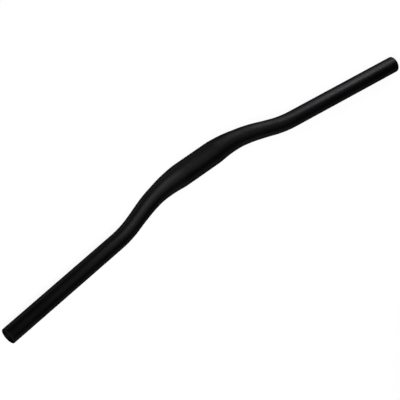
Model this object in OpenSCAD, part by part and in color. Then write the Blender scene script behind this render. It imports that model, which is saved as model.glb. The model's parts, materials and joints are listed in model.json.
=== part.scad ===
// Riser handlebar for a bicycle: one butted aluminium tube, open at both ends.
// The bar lies as it rests on a table, on its clamp zone and on the tips of its two grips.
// +X runs along the clamp axis, +Y is the way the bar rises, +Z is up off the table, and the
// origin is the middle of the clamp. The two halves mirror each other.

/* [Overall shape] */
// Width over the two ends
bar_width = 680; // [600:5:800]
// Rise from the clamp axis to the corner of the outer bend
rise = 21.5; // [12:0.5:40]
// Angle of the rising legs to the clamp axis
rise_angle = 17.2; // [12:0.2:30]
// Angle at which the grips still rise
upsweep = 5.5; // [0:0.5:9]
// Angle at which the grips sweep back, here towards the table
backsweep = 2; // [0:0.5:9]

/* [Clamp] */
// Diameter of the clamp zone
clamp_d = 31.8; // [25.4:0.1:35]
// Length of the clamp zone
clamp_len = 52; // [36:1:60]
// Wall of the clamp zone
clamp_wall = 2.6; // [1.8:0.1:3.6]

/* [Bends and taper] */
// Corner of the inner bend, from the middle of the bar
inner_bend_at = 69; // [52:1:90]
// Radius of the inner bend
inner_bend_r = 215; // [80:5:260]
// Radius of the outer bend
outer_bend_r = 160; // [60:5:220]
// Where the steep taper turns into the slow one, along the bar from its middle
neck_at = 70; // [56:1:90]
// Diameter at that place
neck_d = 25; // [24:0.1:27]
// Where the slow taper ends, along the bar from its middle
taper_end = 120; // [100:1:150]
// Wall where the slow taper ends, the thinnest of the bar
bend_wall = 1.9; // [1.4:0.1:3]

/* [Grips] */
// Diameter of the grips
grip_d = 22.2; // [19:0.1:24]
// Wall of the grips
grip_wall = 2.1; // [1.4:0.1:3]
// Radius of the outer edge of the open ends
end_round = 1.5; // [0.5:0.1:1.5]
// Chamfer on the inner edge of the open ends
bore_chamfer = 0.3; // [0.1:0.1:0.3]

/* [Hidden] */

// the sides of a bent stretch's rings, and the rings along each part of it
sides = 32;
lead_rings = 3;
inner_rings = 9;
leg_rings = 3;
outer_rings = 7;
// the length over which the tapers turn into each other and into the straight stretches
blend = 8;
// how far a bent stretch runs into the straight ones, and how deep it stays inside their wall
lap = 1;
inset = 0.02;
round_fn = 96;
// the points along the rounded edge of an open end
edge_steps = 6;

clamp_r = clamp_d / 2;
grip_r = grip_d / 2;
clamp_half = clamp_len / 2;
leg = rise / sin(rise_angle);

along_x = [1, 0, 0];
along_y = [0, 1, 0];
along_leg = [cos(rise_angle), sin(rise_angle), 0];
along_grip = [cos(upsweep) * cos(backsweep), sin(upsweep), -cos(upsweep) * sin(backsweep)];
outer_angle = acos(along_leg * along_grip);

// each bend is as wide as stated, or as the straight stretches beside it allow
inner_room = min(inner_bend_at - clamp_half - 3 * lap, 0.58 * leg);
outer_room = 0.36 * leg;
inner_r = min(inner_bend_r, inner_room / tan(rise_angle / 2));
outer_r = min(outer_bend_r, outer_room / tan(outer_angle / 2));
inner_cut = inner_r * tan(rise_angle / 2);
outer_cut = outer_r * tan(outer_angle / 2);

// the corners of the bar's middle line, and the points where its bends begin and end
inner_corner = inner_bend_at * along_x;
outer_corner = inner_corner + leg * along_leg;
bar_end = outer_corner + (bar_width / 2 - outer_corner.x) / along_grip.x * along_grip;
bend_start = inner_corner - inner_cut * along_x;
leg_start = inner_corner + inner_cut * along_leg;
leg_end = outer_corner - outer_cut * along_leg;
grip_start = outer_corner + outer_cut * along_grip;
grip_len = norm(bar_end - grip_start);

// the lengths along the middle line at those points
inner_arc = inner_r * rise_angle * PI / 180;
outer_arc = outer_r * outer_angle * PI / 180;
leg_len = norm(leg_end - leg_start);
at_bend = bend_start.x;
at_leg = at_bend + inner_arc;
at_outer = at_leg + leg_len;
at_grip = at_outer + outer_arc;

// the tapers leave the clamp zone and reach the grip inside the bent stretch
first_turn = clamp_half + blend / 2;
last_turn = min(taper_end, at_grip - 2 * blend) - blend / 2;
neck_turn = max(first_turn + blend, min(neck_at, last_turn - blend));

// [place along the middle line, value there] at each turn of the radius and of the wall
radius_turns = [[first_turn, clamp_r], [neck_turn, neck_d / 2], [last_turn, grip_r]];
wall_turns = [[first_turn, clamp_wall], [last_turn, bend_wall], [at_grip - blend / 2, grip_wall]];

// the bar turns about its clamp axis until the grip tips are as low as the clamp zone
tip_reach = norm([bar_end.y, bar_end.z]);
lie_angle = asin((clamp_r - grip_r) / tip_reach) - atan2(-bar_end.z, bar_end.y);

function unit(v) = v / norm(v);

// how far s is past a turn, with the turn itself rounded
function past(s, turn) =
    let (d = s - turn + blend / 2)
    d < 0 ? 0 : d < blend ? d * d / (2 * blend) : s - turn;

// the slope after turn i of a list, which is level before its first turn and after its last
function slope(turns, i) =
    i < 0 || i == len(turns) - 1 ? 0
    : (turns[i + 1][1] - turns[i][1]) / (turns[i + 1][0] - turns[i][0]);

// the value at s of a line that has these turns
function along(turns, s) =
    let (changes = [for (i = [0:len(turns) - 1]) slope(turns, i) - slope(turns, i - 1)])
    turns[0][1] + changes * [for (turn = turns) past(s, turn[0])];

function radius_at(s) = along(radius_turns, s);

function wall_at(s) = along(wall_turns, s);

// a station is [place, heading, length along the middle line]
function straight_stations(from, heading, at, length, steps) =
    [for (i = [0:steps - 1]) let (d = length * i / steps) [from + d * heading, heading, at + d]];

function bend_stations(from, heading, turned, r, angle, at, steps) =
    [for (i = [0:steps - 1]) let (a = angle * i / steps)
        [from + r * (sin(a) * heading + (1 - cos(a)) * turned),
         cos(a) * heading + sin(a) * turned,
         at + r * a * PI / 180]];

towards_leg = along_y;
towards_grip = unit(along_grip - (along_grip * along_leg) * along_leg);

stations = concat(
    [[(clamp_half - lap) * along_x, along_x, clamp_half - lap]],
    straight_stations(clamp_half * along_x, along_x, clamp_half, at_bend - clamp_half, lead_rings),
    bend_stations(bend_start, along_x, towards_leg, inner_r, rise_angle, at_bend, inner_rings),
    straight_stations(leg_start, along_leg, at_leg, leg_len, leg_rings),
    bend_stations(leg_end, along_leg, towards_grip, outer_r, outer_angle, at_outer, outer_rings),
    [[grip_start, along_grip, at_grip], [grip_start + lap * along_grip, along_grip, at_grip + lap]]
);

// the ring of points at distance r round a station
function ring(station, r) =
    let (side = unit(cross([0, 0, 1], station[1])), other = cross(station[1], side))
    [for (i = [0:sides - 1]) let (a = 360 * i / sides)
        station[0] + r * (cos(a) * side + sin(a) * other)];

function outer_ring(station) = ring(station, radius_at(station[2]) - inset);

// its flats, and not its corners, touch the inner radius
function inner_ring(station) =
    ring(station, (radius_at(station[2]) - wall_at(station[2]) + inset) / cos(180 / sides));

module straight_tube(r, wall, length) {
    difference() {
        cylinder(r = r, h = length, $fn = round_fn);
        translate([0, 0, -lap])
            cylinder(r = r - wall, h = length + 2 * lap, $fn = round_fn);
    }
}

// the stretch from the clamp zone to the grip: taper, inner bend, leg and outer bend
module bent_tube() {
    last = len(stations) - 1;
    inside = len(stations) * sides;
    outer_points = [for (station = stations) each outer_ring(station)];
    inner_points = [for (station = stations) each inner_ring(station)];
    skin = [for (k = [0:last - 1], i = [0:sides - 1])
        let (j = (i + 1) % sides, a = k * sides, b = a + sides)
        each [[a + i, b + i, b + j], [a + i, b + j, a + j]]];
    lining = [for (f = skin) [inside + f[2], inside + f[1], inside + f[0]]];
    first_rim = [for (i = [0:sides - 1]) let (j = (i + 1) % sides)
        each [[i, j, inside + j], [i, inside + j, inside + i]]];
    tip = last * sides;
    last_rim = [for (f = first_rim) [tip + f[2], tip + f[1], tip + f[0]]];
    polyhedron(
        points = concat(outer_points, inner_points),
        faces = concat(skin, lining, first_rim, last_rim),
        convexity = 6
    );
}

// a straight tube whose open end has a rounded outer edge and a chamfered inner one
module grip_tube() {
    bore_r = grip_r - grip_wall;
    edge = min(end_round, 0.75 * grip_wall);
    rounded_edge = [for (i = [0:edge_steps]) let (a = 90 * i / edge_steps)
        [grip_r - edge * (1 - cos(a)), grip_len - edge * (1 - sin(a))]];
    profile = concat(
        [[bore_r, 0], [grip_r, 0]],
        rounded_edge,
        [[bore_r + bore_chamfer, grip_len], [bore_r, grip_len - bore_chamfer]]
    );
    translate(grip_start)
        rotate([0, acos(along_grip.z), atan2(along_grip.y, along_grip.x)])
            rotate_extrude($fn = round_fn)
                polygon(profile);
}

module half_bar() {
    bent_tube();
    grip_tube();
}

module handlebar() {
    color([0.1, 0.1, 0.11])
        rotate([-lie_angle, 0, 0])
            union() {
                translate([-clamp_half, 0, 0])
                    rotate([0, 90, 0])
                        straight_tube(clamp_r, clamp_wall, clamp_len);
                half_bar();
                mirror([1, 0, 0])
                    half_bar();
            }
}

handlebar();
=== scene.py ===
import json
import math

import bpy
import numpy as np
from mathutils import Matrix, Vector


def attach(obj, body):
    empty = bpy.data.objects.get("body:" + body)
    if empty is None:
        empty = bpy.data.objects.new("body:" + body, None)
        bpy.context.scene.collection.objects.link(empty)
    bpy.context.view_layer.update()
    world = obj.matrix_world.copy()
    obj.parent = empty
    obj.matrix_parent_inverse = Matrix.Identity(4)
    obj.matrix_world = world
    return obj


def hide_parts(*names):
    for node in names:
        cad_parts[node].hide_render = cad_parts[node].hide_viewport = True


# A black riser handlebar lies on a white floor. One smooth mesh with the sizes of the part's
# source stands for the CAD solid. The bar's own sizes are in mm, and all others are in metres.

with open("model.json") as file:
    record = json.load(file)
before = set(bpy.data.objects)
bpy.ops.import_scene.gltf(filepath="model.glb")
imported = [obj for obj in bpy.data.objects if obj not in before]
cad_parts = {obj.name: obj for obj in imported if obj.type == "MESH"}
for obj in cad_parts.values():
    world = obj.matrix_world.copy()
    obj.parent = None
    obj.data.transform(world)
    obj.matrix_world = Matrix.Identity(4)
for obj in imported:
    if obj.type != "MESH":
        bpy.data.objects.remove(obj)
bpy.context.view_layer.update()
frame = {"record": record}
scene = bpy.context.scene
MM = 0.001

# The camera

# it looks down on the bar from beyond the +X end, and rolls so that the bar runs from the lower
# left corner of the picture to the upper right one (angles in degrees, lens in mm)
CAM_TARGET = Vector((0.02067, 0.04050, -0.00891))
CAM_DISTANCE = 2.3
CAM_AZIMUTH = -3.962
CAM_ELEVATION = 63.448
CAM_ROLL = 59.185
CAM_LENS = 161.08
CAM_REACH = 50.0


def add_camera():
    data = bpy.data.cameras.new("photo_camera")
    data.sensor_width = 36.0
    data.lens = CAM_LENS
    data.clip_end = CAM_REACH
    cam = bpy.data.objects.new("photo_camera", data)
    aim = (Matrix.Rotation(math.radians(CAM_AZIMUTH + 90.0), 4, "Z")
           @ Matrix.Rotation(math.radians(90.0 - CAM_ELEVATION), 4, "X")
           @ Matrix.Rotation(math.radians(CAM_ROLL), 4, "Z"))
    step_back = Matrix.Translation((0.0, 0.0, CAM_DISTANCE))
    cam.matrix_world = Matrix.Translation(CAM_TARGET) @ aim @ step_back
    scene.collection.objects.link(cam)
    scene.camera = cam


add_camera()

# The bar's sizes

# the diameters and the clamp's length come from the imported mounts
mounts = {mount["name"]: mount["dims"] for mount in frame["record"]["mounts"]}
CLAMP_R = mounts["stem_clamp"]["r_mm"]
CLAMP_HALF = mounts["stem_clamp"]["length_mm"] / 2
GRIP_R = mounts["right_grip"]["r_mm"]
BORE_R = mounts["right_end_bore"]["r_mm"]

# the source's other sizes, where "at" is a length from the middle of the bar
BAR_WIDTH = 680.0
RISE = 21.5
RISE_ANGLE = math.radians(17.2)
UPSWEEP = math.radians(5.5)
BACKSWEEP = math.radians(2.0)
INNER_BEND_AT = 69.0
INNER_BEND_R = 215.0
OUTER_BEND_R = 160.0
NECK_AT = 70.0
NECK_R = 12.5
TAPER_END = 120.0
CLAMP_WALL = 2.6
BEND_WALL = 1.9
GRIP_WALL = GRIP_R - BORE_R
BLEND = 8.0
END_ROUND = 1.5
BORE_ROUND = 0.3

ALONG_X = np.array([1.0, 0.0, 0.0])
ALONG_Y = np.array([0.0, 1.0, 0.0])
ALONG_Z = np.array([0.0, 0.0, 1.0])
ALONG_LEG = np.array([math.cos(RISE_ANGLE), math.sin(RISE_ANGLE), 0.0])
ALONG_GRIP = np.array([
    math.cos(UPSWEEP) * math.cos(BACKSWEEP),
    math.sin(UPSWEEP),
    -math.cos(UPSWEEP) * math.sin(BACKSWEEP)])


def unit(v):
    return v / np.linalg.norm(v)


class MiddleLine:
    """The bar's middle line, from the middle of the clamp zone out to its +X end."""

    def __init__(self):
        self.stretches = []
        self.length = 0.0
        self.end = np.zeros(3)
        self.heading = ALONG_X

    def go(self, length):
        """Goes straight on for a length."""
        self.add(length, self.heading, math.inf)

    def bend(self, towards, radius, angle):
        """Bends towards a direction that is square to the heading."""
        self.add(radius * angle, towards, radius)

    def add(self, length, towards, radius):
        self.stretches.append((self.length, self.end, self.heading, towards, radius))
        self.length += length
        self.end, self.heading = self.at(self.length)

    def at(self, s):
        """The point and the heading at length s."""
        first, start, heading, towards, radius = [t for t in self.stretches if t[0] <= s][-1]
        if radius == math.inf:
            return start + (s - first) * heading, heading
        turn = (s - first) / radius
        ahead = radius * math.sin(turn)
        aside = radius * (1.0 - math.cos(turn))
        return (start + ahead * heading + aside * towards,
                math.cos(turn) * heading + math.sin(turn) * towards)


leg_length = RISE / math.sin(RISE_ANGLE)
outer_angle = math.acos(float(ALONG_LEG @ ALONG_GRIP))
# how much of the straight line each bend takes on either side of its corner
inner_cut = INNER_BEND_R * math.tan(RISE_ANGLE / 2)
outer_cut = OUTER_BEND_R * math.tan(outer_angle / 2)

line = MiddleLine()
line.go(INNER_BEND_AT - inner_cut)
line.bend(ALONG_Y, INNER_BEND_R, RISE_ANGLE)
line.go(leg_length - inner_cut - outer_cut)
line.bend(unit(ALONG_GRIP - (ALONG_GRIP @ ALONG_LEG) * ALONG_LEG), OUTER_BEND_R, outer_angle)
GRIP_AT = line.length
line.go((BAR_WIDTH / 2 - line.end[0]) / ALONG_GRIP[0])

# (length along the middle line, value there) at each turn of the radius and of the wall
first_turn = CLAMP_HALF + BLEND / 2
last_turn = TAPER_END - BLEND / 2
RADIUS_TURNS = [(first_turn, CLAMP_R), (NECK_AT, NECK_R), (last_turn, GRIP_R)]
WALL_TURNS = [(first_turn, CLAMP_WALL), (last_turn, BEND_WALL), (GRIP_AT - BLEND / 2, GRIP_WALL)]


def past(s, turn):
    """How far s is past a turn, with the turn itself rounded over the length BLEND."""
    rounded = min(max(s - turn + BLEND / 2, 0.0), BLEND)
    straight = max(s - turn - BLEND / 2, 0.0)
    return rounded * rounded / (2 * BLEND) + straight


def along(turns, s):
    """The value at s of a line that has these turns, and is level before and after them."""
    slopes = [(b[1] - a[1]) / (b[0] - a[0]) for a, b in zip(turns, turns[1:])]
    value = turns[0][1]
    for (at, _), before, after in zip(turns, [0.0] + slopes, slopes + [0.0]):
        value += (after - before) * past(s, at)
    return value


def radius_at(s):
    return along(RADIUS_TURNS, s)


def bore_at(s):
    return radius_at(s) - along(WALL_TURNS, s)


# the bar turns about its clamp axis until the grip tips are as low as the clamp zone
tip_reach = math.hypot(line.end[1], line.end[2])
lie_angle = math.asin((CLAMP_R - GRIP_R) / tip_reach) - math.atan2(-line.end[2], line.end[1])
LYING = np.array(Matrix.Rotation(-lie_angle, 3, "X"))
TABLE_Z = -CLAMP_R * MM

# The bar's mesh

# it is made of rings, each with its length along the middle line, radius and one of these finishes
OUTSIDE, CUT, BORE = range(3)
SIDES = 96
# mm between rings in the clamp zone, from there to the grip, and along the grip
OUTSIDE_GAPS = (3.5, 1.5, 6.0)
BORE_GAPS = (6.5, 4.0, 12.0)
# mm from the last ring of a grip to the rounding of its end
OUTSIDE_LEAD = 0.5
BORE_LEAD = 0.4
END_STEPS = 6
BORE_STEPS = 4
# the share of the way over the cut end's flat ring at which each of its rings lies
FLAT_SHARES = (0.15, 0.5, 0.85)


def spaced(start, end, gap):
    """Places about a gap apart, from the start up to, but without, the end."""
    count = max(1, round((end - start) / gap))
    return [start + (end - start) * i / count for i in range(count)]


def places(gaps, last):
    """The lengths at which rings lie, from the middle of the bar to the last one."""
    clamp_gap, bend_gap, grip_gap = gaps
    return (spaced(0.0, CLAMP_HALF, clamp_gap) + spaced(CLAMP_HALF, GRIP_AT, bend_gap)
            + spaced(GRIP_AT, last, grip_gap) + [last])


def quarter_turn(steps):
    """(cosine, sine) of the angles from 0 to 90 degrees."""
    angles = [math.pi / 2 * i / steps for i in range(steps + 1)]
    return [(math.cos(a), math.sin(a)) for a in angles]


def half_rings():
    """The rings of the +X half: along the outside, round the open end and back in the bore."""
    end = line.length
    edge_r = GRIP_R - END_ROUND
    bore_edge_r = BORE_R + BORE_ROUND
    rings = [(s, radius_at(s), OUTSIDE) for s in places(OUTSIDE_GAPS, end - END_ROUND - OUTSIDE_LEAD)]
    for i, (cosine, sine) in enumerate(quarter_turn(END_STEPS)):
        # past its first ring the rounded edge takes the cut end's material, whose darker colour is
        # painted shade
        finish = OUTSIDE if i == 0 else CUT
        rings.append((end - END_ROUND * (1 - sine), edge_r + END_ROUND * cosine, finish))
    for share in FLAT_SHARES:
        rings.append((end, edge_r + share * (bore_edge_r - edge_r), CUT))
    for i, (cosine, sine) in enumerate(quarter_turn(BORE_STEPS)):
        finish = CUT if i <= BORE_STEPS / 2 else BORE
        rings.append((end - BORE_ROUND * (1 - cosine), bore_edge_r - BORE_ROUND * sine, finish))
    inside = places(BORE_GAPS, end - BORE_ROUND - BORE_LEAD)
    return rings + [(s, bore_at(s), BORE) for s in reversed(inside)]


def ring_points(s, r):
    """The points round the bar at length s, which is negative in the -X half."""
    centre, heading = line.at(abs(s))
    across = unit(np.cross(ALONG_Z, heading))
    other = np.cross(heading, across)
    turn = np.linspace(0.0, 2 * math.pi, SIDES, endpoint=False)[:, None]
    points = centre + r * (np.cos(turn) * across + np.sin(turn) * other)
    if s < 0:
        points[:, 0] *= -1
    return points @ LYING.T * MM


def build_bar():
    half = half_rings()
    # both halves share the two rings in the middle of the bar
    rings = half + [(-s, r, finish) for s, r, finish in reversed(half[1:-1])]
    points = np.concatenate([ring_points(s, r) for s, r, _ in rings])
    faces, uvs, finishes = [], [], []
    for k, (s, _, finish) in enumerate(rings):
        after = (k + 1) % len(rings)
        next_s, _, next_finish = rings[after]
        for i in range(SIDES):
            j = (i + 1) % SIDES
            faces.append((k * SIDES + i, after * SIDES + i, after * SIDES + j, k * SIDES + j))
            low, high = i / SIDES, (i + 1) / SIDES
            uvs += [s * MM, low, next_s * MM, low, next_s * MM, high, s * MM, high]
            finishes.append(max(finish, next_finish))
    mesh = bpy.data.meshes.new("bar")
    mesh.from_pydata(points.tolist(), [], faces)
    mesh.uv_layers.new(name="along_and_round").data.foreach_set("uv", uvs)
    mesh.polygons.foreach_set("use_smooth", [True] * len(faces))
    # in the order of OUTSIDE, CUT and BORE
    for mat in (black_satin(), cut_end_painted_shade(), bore_skin()):
        mesh.materials.append(mat)
    mesh.polygons.foreach_set("material_index", finishes)
    mesh.update()
    obj = bpy.data.objects.new("bar", mesh)
    scene.collection.objects.link(obj)
    return obj


# Materials

# how bright the black metal stays where it is seen at a low angle
EDGE_TINT = (0.36, 0.36, 0.37, 1.0)


def grey(value):
    return (value, value, value, 1.0)


def add_node(nt, kind, **values):
    """A new node, whose inputs and properties are set by name."""
    n = nt.nodes.new(kind)
    for key, value in values.items():
        if key in n.inputs:
            n.inputs[key].default_value = value
        else:
            setattr(n, key, value)
    return n


def maths(nt, operation, *terms):
    """A Math node's output. Each term is a socket or a number."""
    n = add_node(nt, "ShaderNodeMath", operation=operation)
    for socket, term in zip(n.inputs, terms):
        if isinstance(term, float):
            socket.default_value = term
        else:
            nt.links.new(term, socket)
    return n.outputs[0]


def noise(nt, place, scale, detail, roughness):
    n = add_node(nt, "ShaderNodeTexNoise", Scale=scale, Detail=detail, Roughness=roughness)
    nt.links.new(place, n.inputs["Vector"])
    return n.outputs["Fac"]


def lengthwise_lines(nt, uv, per_metre, round_the_bar, detail):
    """A noise drawn out along the bar, with about this many waves per metre and round the bar."""
    stretch = add_node(nt, "ShaderNodeMapping", Scale=(per_metre, round_the_bar, 1.0))
    nt.links.new(uv, stretch.inputs["Vector"])
    return noise(nt, stretch.outputs["Vector"], scale=1.0, detail=detail, roughness=0.6)


def ramp(nt, source, *stops):
    """The output of a ramp, whose stops are (source value, grey or colour there)."""
    n = nt.nodes.new("ShaderNodeValToRGB")
    for element, (at, value) in zip(n.color_ramp.elements, stops):
        element.position = at
        element.color = (*value, 1.0) if isinstance(value, tuple) else grey(value)
    nt.links.new(source, n.inputs["Fac"])
    return n.outputs["Color"]


def bump(nt, height, strength, distance, under=None):
    n = add_node(nt, "ShaderNodeBump", Strength=strength, Distance=distance)
    nt.links.new(height, n.inputs["Height"])
    if under is not None:
        nt.links.new(under, n.inputs["Normal"])
    return n.outputs["Normal"]


def empty_material(name):
    mat = bpy.data.materials.new(name)
    mat.use_nodes = True
    mat.node_tree.nodes.clear()
    return mat, mat.node_tree, mat.node_tree.nodes.new("ShaderNodeOutputMaterial")


def black_metal(name):
    """The material, node tree, shader and coordinates of a metal dyed black."""
    mat, nt, out = empty_material(name)
    shader = add_node(nt, "ShaderNodeBsdfPrincipled", Metallic=1.0)
    shader.inputs["Specular Tint"].default_value = EDGE_TINT
    nt.links.new(shader.outputs["BSDF"], out.inputs["Surface"])
    return mat, nt, shader, nt.nodes.new("ShaderNodeTexCoord").outputs


def finish_with(nt, shader, colour, rough, normal):
    nt.links.new(colour, shader.inputs["Base Color"])
    nt.links.new(rough, shader.inputs["Roughness"])
    nt.links.new(normal, shader.inputs["Normal"])


def black_satin():
    """Black anodised tube: a fine blasted grain, faint drawing lines along the tube and a
    sheen that varies a little from place to place."""
    mat, nt, shader, coords = black_metal("black_satin_anodised")
    cloud = noise(nt, coords["Object"], scale=26.0, detail=4.0, roughness=0.55)
    grain = noise(nt, coords["Object"], scale=2600.0, detail=2.0, roughness=0.6)
    drawn = lengthwise_lines(nt, coords["UV"], per_metre=9.0, round_the_bar=110.0, detail=5.0)
    blasted = bump(nt, grain, strength=0.12, distance=0.06 * MM)
    mixed = maths(nt, "MULTIPLY", maths(nt, "ADD", drawn, cloud), 0.5)
    finish_with(
        nt, shader,
        ramp(nt, cloud, (0.3, (0.0178, 0.0178, 0.0188)), (0.7, (0.0220, 0.0220, 0.0231))),
        ramp(nt, mixed, (0.32, 0.408), (0.68, 0.468)),
        bump(nt, drawn, strength=0.25, distance=0.05 * MM, under=blasted))
    return mat


def cut_end_painted_shade():
    """The sawn end face and its rounded edge: matt black, with a fine grain, in a black darker than
    the tube's that is painted shade.
    """
    mat, nt, shader, coords = black_metal("black_cut_end")
    grain = noise(nt, coords["Object"], scale=1400.0, detail=3.0, roughness=0.6)
    # painted shade: the end is coloured darker than the tube so that its rounded edge doesn't catch
    # the fill lamp's highlight
    finish_with(
        nt, shader,
        ramp(nt, grain, (0.3, (0.0110, 0.0110, 0.0116)), (0.7, (0.0180, 0.0180, 0.0188))),
        ramp(nt, grain, (0.3, 0.82), (0.7, 0.92)),
        bump(nt, grain, strength=0.2, distance=0.05 * MM))
    return mat


def bore_skin():
    """The inside of the tube: dull, with lengthwise lines left by the drawing mandrel."""
    mat, nt, shader, coords = black_metal("black_dull_bore")
    lines = lengthwise_lines(nt, coords["UV"], per_metre=14.0, round_the_bar=60.0, detail=4.0)
    finish_with(
        nt, shader,
        ramp(nt, lines, (0.3, (0.011, 0.011, 0.012)), (0.7, (0.02, 0.02, 0.021))),
        ramp(nt, lines, (0.3, 0.52), (0.7, 0.66)),
        bump(nt, lines, strength=0.3, distance=0.08 * MM))
    return mat


bar = build_bar()
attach(bar, "root")
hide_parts("handlebar")

# The floor, the world and the lamps

# the floor is a square that lies a hair below the bar
FLOOR_HALF = 6.0
FLOOR_DROP = 0.0002
FLOOR_GREY = 0.8
# where it is seen, a glow makes it all but white, and a dark grey adds the rest outside shadows
SEEN_GLOW = 0.92
SEEN_GREY = 0.11
WORLD_LIGHT = 0.004


def white_floor():
    """Seen by the camera or mirrored in the bar, it is white with the bar's shadow on it. To
    all other light it is a plain pale floor."""
    mat, nt, out = empty_material("white_floor")
    lit = add_node(nt, "ShaderNodeBsdfDiffuse", Color=grey(FLOOR_GREY))
    shadowed = add_node(nt, "ShaderNodeBsdfDiffuse", Color=grey(SEEN_GREY))
    glow = add_node(nt, "ShaderNodeEmission", Color=grey(1.0), Strength=SEEN_GLOW)
    white = nt.nodes.new("ShaderNodeAddShader")
    nt.links.new(shadowed.outputs[0], white.inputs[0])
    nt.links.new(glow.outputs[0], white.inputs[1])
    ray = nt.nodes.new("ShaderNodeLightPath").outputs
    mirrored = maths(nt, "MAXIMUM", ray["Is Glossy Ray"], ray["Is Transmission Ray"])
    shown = maths(nt, "MAXIMUM", ray["Is Camera Ray"], mirrored)
    mix = nt.nodes.new("ShaderNodeMixShader")
    nt.links.new(shown, mix.inputs["Fac"])
    nt.links.new(lit.outputs[0], mix.inputs[1])
    nt.links.new(white.outputs[0], mix.inputs[2])
    nt.links.new(mix.outputs[0], out.inputs["Surface"])
    return mat


def add_floor():
    mesh = bpy.data.meshes.new("floor")
    corners = [(FLOOR_HALF * x, FLOOR_HALF * y, TABLE_Z - FLOOR_DROP)
               for x, y in ((-1, -1), (1, -1), (1, 1), (-1, 1))]
    mesh.from_pydata(corners, [], [(0, 1, 2, 3)])
    mesh.materials.append(white_floor())
    obj = bpy.data.objects.new("floor", mesh)
    scene.collection.objects.link(obj)


def dim_world():
    world = bpy.data.worlds.new("studio")
    world.use_nodes = True
    background = world.node_tree.nodes["Background"]
    background.inputs["Color"].default_value = grey(1.0)
    background.inputs["Strength"].default_value = WORLD_LIGHT
    scene.world = world


def softbox(name, at, towards, size, power):
    """A white lamp that the camera doesn't see, its power in watts."""
    data = bpy.data.lights.new(name, "AREA")
    data.shape = "RECTANGLE"
    data.size, data.size_y = size
    data.energy = power
    obj = bpy.data.objects.new(name, data)
    obj.location = at
    aim = Vector(towards) - Vector(at)
    obj.rotation_euler = aim.to_track_quat("-Z", "Y").to_euler()
    obj.visible_camera = False
    scene.collection.objects.link(obj)


add_floor()
dim_world()

# the fill lights the whole bar, and the small lamps place its long soft highlights
BAR_MIDDLE = (0.0, 0.0, 0.0)
FAR_HALF = (-0.1, 0.0, 0.0)
softbox("fill", (1.86, 0.64, 1.73), BAR_MIDDLE, (1.0, 1.0), 59.8)
softbox("top", (-0.103, 0.019, 0.428), FAR_HALF, (0.438, 0.351), 0.297)
softbox("near", (0.026, -0.111, 0.202), FAR_HALF, (0.18, 0.147), 0.216)
softbox("key", (-0.435, -0.127, 0.2), FAR_HALF, (0.135, 0.124), 0.444)
softbox("far", (-1.109, -0.862, 0.207), FAR_HALF, (0.408, 1.008), 5.24)

scene.view_settings.view_transform = "Standard"
